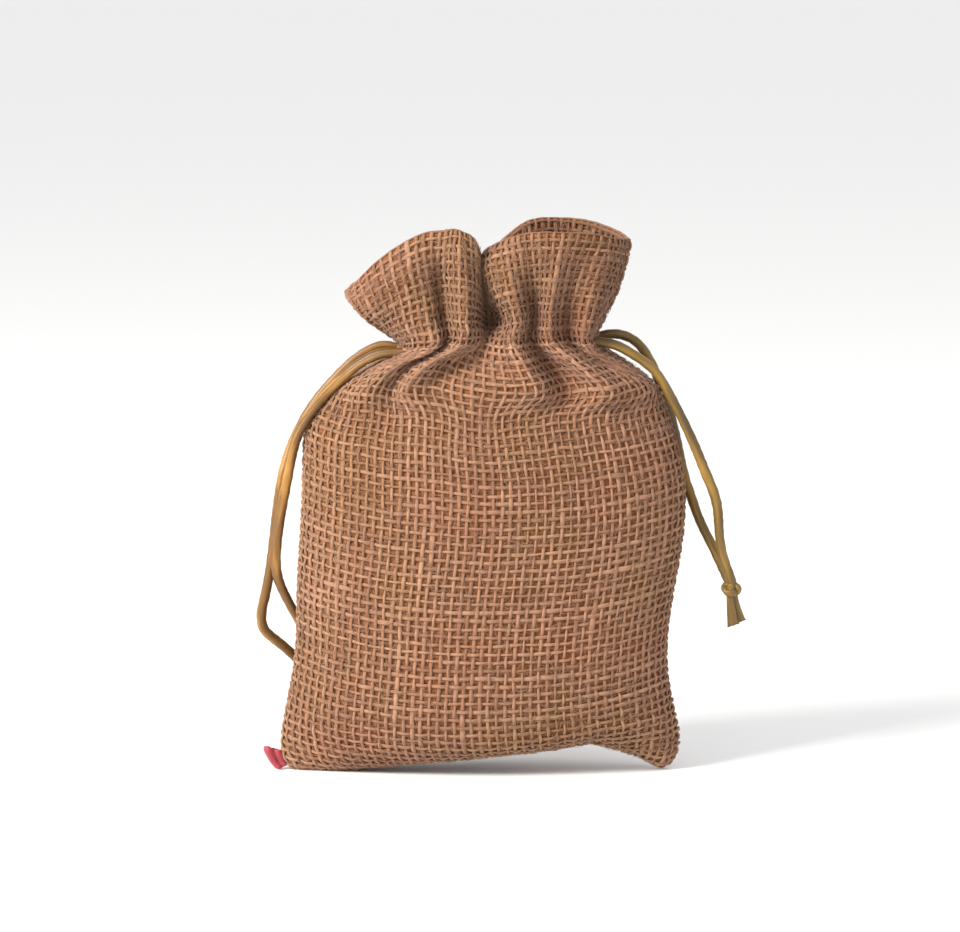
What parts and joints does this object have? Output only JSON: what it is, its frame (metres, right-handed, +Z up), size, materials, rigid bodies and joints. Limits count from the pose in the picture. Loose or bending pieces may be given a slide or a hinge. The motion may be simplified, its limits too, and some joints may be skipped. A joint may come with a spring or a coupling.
{
  "type": "drawstring gift pouch",
  "caption": "Small open-weave jute gift pouch that stands filled, with a ruffled mouth gathered by two satin drawstrings, each ending in a knot.",
  "frame": {"origin": "middle of the box around the pouch without its free cords, on the floor it stands on", "axes": "+X to the pouch's right seen from its front, -Y out of its front, +Z up to the mouth"},
  "size_m": [0.1223, 0.0394, 0.1385],
  "materials": {
    "jute": "open plain-weave jute, matt, dry and slightly hairy",
    "jute_inside": "the same jute seen from inside, darker",
    "thread": "matt sewing thread",
    "satin": "gold rat-tail satin cord, soft sheen",
    "tag": "red woven tape, slightly shiny"
  },
  "bodies": {
    "pouch": {"front_panel": "jute", "back_panel": "jute", "left_side_seam": "jute_inside", "right_side_seam": "jute_inside", "bottom_seam": "jute_inside", "front_casing": "jute", "back_casing": "jute", "front_casing_stitches": "thread", "back_casing_stitches": "thread", "seam_tag": "tag", "right_cord_run": "satin", "left_cord_run": "satin"},
    "front_lip": {"front_frill": "jute", "front_facing": "jute_inside"},
    "back_lip": {"back_frill": "jute", "back_facing": "jute_inside"},
    "right_ends": {"right_cord_ends": "satin"},
    "right_loop": {"right_cord_front_leg": "satin", "right_cord_back_leg": "satin", "right_knot": "satin", "right_cord_tails": "satin"},
    "left_ends": {"left_cord_ends": "satin"},
    "left_loop": {"left_cord_outer_leg": "satin", "left_cord_inner_leg": "satin", "left_knot": "satin", "left_cord_tails": "satin"}
  },
  "joints": [
    {"name": "mouth_front_open", "type": "hinge", "parent": "pouch", "child": "front_lip", "pos_m": [0.0066, -0.011, 0.111], "axis": [1, 0, 0], "range_deg": [0, 25]},
    {"name": "mouth_back_open", "type": "hinge", "parent": "pouch", "child": "back_lip", "pos_m": [0.0066, 0.011, 0.111], "axis": [-1, 0, 0], "range_deg": [0, 25]},
    {"name": "right_cord_pull", "type": "slide", "parent": "pouch", "child": "right_ends", "axis": [1, 0, 0], "range_m": [0, 0.01]},
    {"name": "right_cord_swing", "type": "hinge", "parent": "right_ends", "child": "right_loop", "pos_m": [0.033, 0, 0.1087], "axis": [0, -1, 0], "range_deg": [0, 45]},
    {"name": "left_cord_pull", "type": "slide", "parent": "pouch", "child": "left_ends", "axis": [-1, 0, 0], "range_m": [0, 0.01]},
    {"name": "left_cord_swing", "type": "hinge", "parent": "left_ends", "child": "left_loop", "pos_m": [-0.0198, 0, 0.1059], "axis": [0, 1, 0], "range_deg": [0, 45]}
  ],
  "couplings": [
    {"joint": "mouth_back_open", "follows": "mouth_front_open", "ratio": 1}
  ]
}
